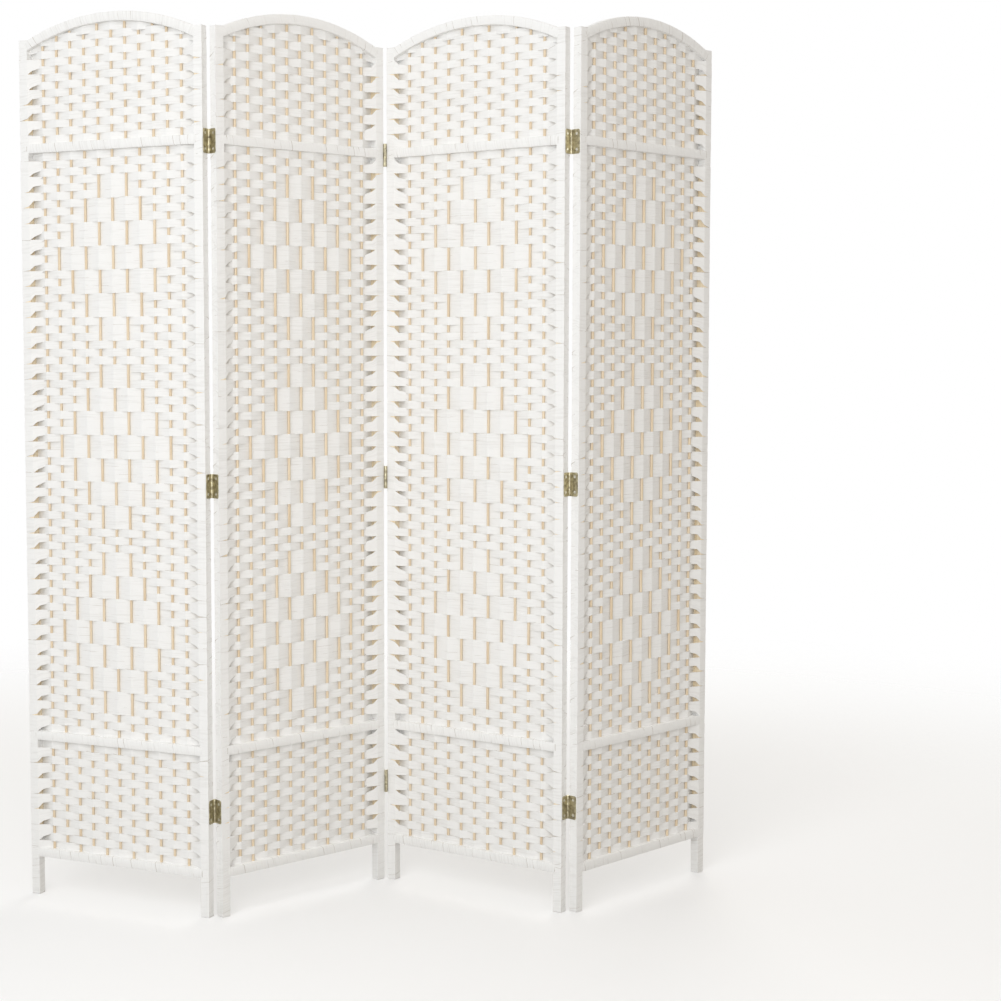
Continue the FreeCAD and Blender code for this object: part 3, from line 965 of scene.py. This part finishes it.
def screwPiece():  # countersunk head with a cross recess, its shank in the post
    look = hingeLook
    arm, width, depth = look["recessArm"], look["recessHalf"], look["headDepth"]
    cross = [(arm, -width), (arm, width), (width, width), (width, arm), (-width, arm), (-width, width),
             (-arm, width), (-arm, -width), (-width, -width), (-width, -arm), (width, -arm), (width, -width)]
    facing = Matrix.Rotation(math.radians(-90), 4, "Y")

    def at(level):
        return Matrix.Translation((level, 0, 0)) @ facing
    head = plateMesh([circleOutline(look["headRadius"]), cross], depth, at(look["gap"] / 2 + depth / 2))
    floor = plateMesh([circleOutline(look["headRadius"] * look["recessFloor"])], depth,
                      at(look["gap"] / 2 + depth * look["recessDrop"]))
    shank = plateMesh([circleOutline(look["shankRadius"], count=look["shankSides"])], look["shankLength"],
                      at(look["gap"] / 2 + depth + look["shankLength"] / 2))
    return solidFrom("screwMaster", [head, floor, shank])


def pinPiece():  # pin with eased ends, as tall as the hinge
    return solidFrom("pinMaster", [plateMesh([circleOutline(hingeLook["pinRadius"])], hingeHeight, Matrix())])


def hingeTree():
    tree = Tree("hingeRow", ["Low", "Middle", "High", "Spread", "Setback"],
                {"Piece": "Object", "Copies": "Int", "Metal": "Material"})
    index = tree.add("GeometryNodeInputIndex")
    hinge = tree.calc("FLOOR", (index + 0.5) / tree["Copies"])
    copy = index - hinge * tree["Copies"]
    level = tree.pick(hinge, [tree["Low"], tree["Middle"], tree["High"]])
    z = level + (copy - (tree["Copies"] - 1) / 2) * tree["Spread"]
    points = tree.add("GeometryNodePoints", {
        "Count": tree["Copies"] * len(levels), "Position": tree.vector(0.0, tree["Setback"] * -1.0, z)})
    piece = tree.add("GeometryNodeObjectInfo", {"Object": tree["Piece"]}, out="Geometry")
    row = tree.add("GeometryNodeInstanceOnPoints", {"Points": points, "Instance": piece})
    tree.end(row, tree["Metal"])
    return tree


hinging = hingeTree()
outerLeaf = leafPiece("outerLeaf", (-1, 1))
innerLeaf = leafPiece("innerLeaf", (0,))
screwMaster = screwPiece()
pinMaster = pinPiece()


def hingeRow(name, master, metal, place, copies=1, spread=0.0, setback=0.0):
    return grow(name, hinging, {
        "Piece": master, "Low": levels[0], "Middle": levels[1], "High": levels[2], "Copies": copies,
        "Spread": spread, "Setback": setback, "Metal": metal}, place)


def pinAxis(joint):
    low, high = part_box(f"joint_{joint}_hinge_pins")
    return Matrix.Translation(((low.x + high.x) / 2, (low.y + high.y) / 2, 0))


# a leaf faces its own post: mirrored for the right-hand edge or a pin before the panel, turned for both
leafTurns = {
    ("left", "behind"): Matrix(),
    ("right", "behind"): Matrix.Diagonal((-1, 1, 1, 1)),
    ("left", "before"): Matrix.Diagonal((1, -1, 1, 1)),
    ("right", "before"): Matrix.Rotation(math.pi, 4, "Z"),
}
hingeEdges = {
    "panel_1": [(1, "right", "behind", innerLeaf)],
    "panel_2": [(1, "left", "behind", outerLeaf), (2, "right", "before", outerLeaf)],
    "panel_3": [(2, "left", "before", innerLeaf), (3, "right", "behind", outerLeaf)],
    "panel_4": [(3, "left", "behind", innerLeaf)],
}
pinBodies = {1: "panel_2", 2: "panel_2", 3: "panel_3"}


def hangPanel(panel):
    leaves, screws = [], []
    for joint, edge, face, leaf in hingeEdges[panel]:
        place = pinAxis(joint) @ places[panel].to_quaternion().to_matrix().to_4x4() @ leafTurns[edge, face]
        leaves.append(hingeRow(f"{panel}_{edge}_leaves", leaf, brass, place))
        screws.append(hingeRow(f"{panel}_{edge}_screws", screwMaster, steel, place, 2,
                               hingeLook["screwSpread"], hingeLook["setback"]))
        for piece in (leaves[-1], screws[-1]):
            if place.determinant() < 0:
                piece.data.flip_normals()
    settle(joinPieces(f"{panel}_leaves", leaves), panel, "aged_brass", f"{panel}_hinge_leaves")
    settle(joinPieces(f"{panel}_screws", screws), panel, "plated_steel", f"{panel}_hinge_screws")


for panel in panels:
    hangPanel(panel)
for joint, body in pinBodies.items():
    pins = hingeRow(f"joint_{joint}_pins", pinMaster, brass, pinAxis(joint))
    settle(pins, body, "aged_brass", f"joint_{joint}_hinge_pins")
for master in (outerLeaf, innerLeaf, screwMaster, pinMaster):
    bpy.data.objects.remove(master)
print("hinges hung")


# floor, light and camera

stageLook = {
    "floorColour": (0.82, 0.82, 0.82, 1.0),
    "floorBounce": (0.53, 0.52, 0.50, 1.0),
    "floorGlow": 0.12,
    "floorSize": 12.0,
    "floorRoughness": 0.9,
    "fadeFrom": 1.3,
    "fadeTo": 3.6,
    "ambientBelow": 0.44,
    "ambientAbove": 0.83,
    "ambientLeft": (0.96, 0.985, 1.0),
    "ambientRight": (0.945, 0.88, 0.80),
    "backdrop": 1.0,
}
lamps = {  # place, aim, width, power, colour
    "keyLamp": ((-2.3, -3.3, 4.4), (0.0, 0.0, 0.8), 1.8, 31.0, (0.975, 0.985, 1.0)),
    "frontLamp": ((-0.6, -3.1, 1.5), (0.0, 0.0, 0.8), 2.0, 38.0, (0.98, 0.987, 1.0)),
    "backLamp": ((1.2, 4.4, 3.4), (0.0, 0.0, 0.8), 2.6, 58.0, (1.0, 0.985, 0.96)),
}
photoCamera = {
    "place": (-0.0816, -3.4676, 1.0546),
    "turnRight": 1.1,
    "tiltDown": 4.071,
    "roll": 0.15,
    "lens": 64.467,
    "sensor": 36.0,
    "shift": (0.1344, -0.0155),
}


def seenRays(nodes, links):  # 1 where the camera, a reflection or a clear surface looks
    rays = nodes.new("ShaderNodeLightPath")
    seen = rays.outputs["Is Camera Ray"]
    for other in ("Is Glossy Ray", "Is Transmission Ray"):
        both = nodes.new("ShaderNodeMath")
        both.operation = "MAXIMUM"
        links.new(seen, both.inputs[0])
        links.new(rays.outputs[other], both.inputs[1])
        seen = both.outputs[0]
    return seen


def makeFloor():  # pale to the eye, with less light thrown back up
    half = stageLook["floorSize"] / 2
    sheet = bpy.data.meshes.new("floor")
    sheet.from_pydata([(x, y, 0) for x, y in squareOutline(half)], [], [(0, 1, 2, 3)])
    floor = addObject("floor", sheet)
    finish = Finish("paleFloor", Roughness=stageLook["floorRoughness"], Specular_IOR_Level=0.0,
                    Emission_Color=(1.0, 1.0, 1.0, 1.0))
    seen = seenRays(finish.nodes, finish.links)
    finish.colour(finish.blend(seen, stageLook["floorBounce"], stageLook["floorColour"]))
    glow = finish.calc("MULTIPLY", seen, stageLook["floorGlow"])
    finish.links.new(glow, finish.shader.inputs["Emission Strength"])
    reach = finish.add("ShaderNodeVectorMath", {0: finish.stretched()}, operation="LENGTH")
    fade = finish.add("ShaderNodeMapRange", {
        "Value": reach.outputs["Value"], "From Min": stageLook["fadeFrom"], "From Max": stageLook["fadeTo"]},
        interpolation_type="SMOOTHSTEP")
    edge = finish.add("ShaderNodeMixShader", {
        0: fade.outputs["Result"], 1: finish.shader.outputs["BSDF"],
        2: finish.add("ShaderNodeBsdfTransparent").outputs["BSDF"]})
    finish.links.new(edge.outputs["Shader"], finish.nodes["Material Output"].inputs["Surface"])
    sheet.materials.append(finish.material)


def makeWorld():  # a white backdrop, and soft light that is stronger from above
    world = bpy.data.worlds.new("studio")
    world.use_nodes = True
    bpy.context.scene.world = world
    nodes, links = world.node_tree.nodes, world.node_tree.links
    sky = nodes["Background"]
    seen = seenRays(nodes, links)
    height = nodes.new("ShaderNodeSeparateXYZ")
    links.new(nodes.new("ShaderNodeTexCoord").outputs["Generated"], height.inputs["Vector"])
    tint = nodes.new("ShaderNodeValToRGB")
    for element, side in zip(tint.color_ramp.elements, ("ambientLeft", "ambientRight")):
        element.color = (*stageLook[side], 1.0)
    across = nodes.new("ShaderNodeMapRange")
    across.inputs["From Min"].default_value = -1.0
    links.new(height.outputs["X"], across.inputs["Value"])
    links.new(across.outputs["Result"], tint.inputs["Fac"])
    white = nodes.new("ShaderNodeMix")
    white.data_type = "RGBA"
    links.new(seen, white.inputs[0])
    links.new(tint.outputs["Color"], white.inputs[6])
    white.inputs[7].default_value = (1.0, 1.0, 1.0, 1.0)
    links.new(white.outputs[2], sky.inputs["Color"])
    dome = nodes.new("ShaderNodeMapRange")
    dome.inputs["From Min"].default_value = -1.0
    dome.inputs["To Min"].default_value = stageLook["ambientBelow"]
    dome.inputs["To Max"].default_value = stageLook["ambientAbove"]
    links.new(height.outputs["Z"], dome.inputs["Value"])
    level = nodes.new("ShaderNodeMapRange")
    level.inputs["To Max"].default_value = stageLook["backdrop"]
    links.new(dome.outputs["Result"], level.inputs["To Min"])
    links.new(seen, level.inputs["Value"])
    links.new(level.outputs["Result"], sky.inputs["Strength"])


def makeLamps():
    for name, (place, aim, width, power, colour) in lamps.items():
        light = bpy.data.lights.new(name, "AREA")
        light.shape = "DISK"
        light.size = width
        light.energy = power
        light.color = colour
        lamp = addObject(name, light)
        lamp.visible_camera = False
        lamp.location = place
        lamp.rotation_euler = (Vector(aim) - Vector(place)).to_track_quat("-Z", "Y").to_euler()


def makeCamera():
    data = bpy.data.cameras.new("photoCamera")
    data.sensor_width = photoCamera["sensor"]
    data.lens = photoCamera["lens"]
    data.shift_x, data.shift_y = photoCamera["shift"]
    camera = addObject("photoCamera", data)
    camera.location = photoCamera["place"]
    camera.rotation_euler = (math.radians(90 - photoCamera["tiltDown"]), math.radians(photoCamera["roll"]),
                             math.radians(-photoCamera["turnRight"]))
    bpy.context.scene.camera = camera


makeFloor()
makeWorld()
makeLamps()
makeCamera()
bpy.context.scene.view_settings.view_transform = "Standard"
print("stage ready")
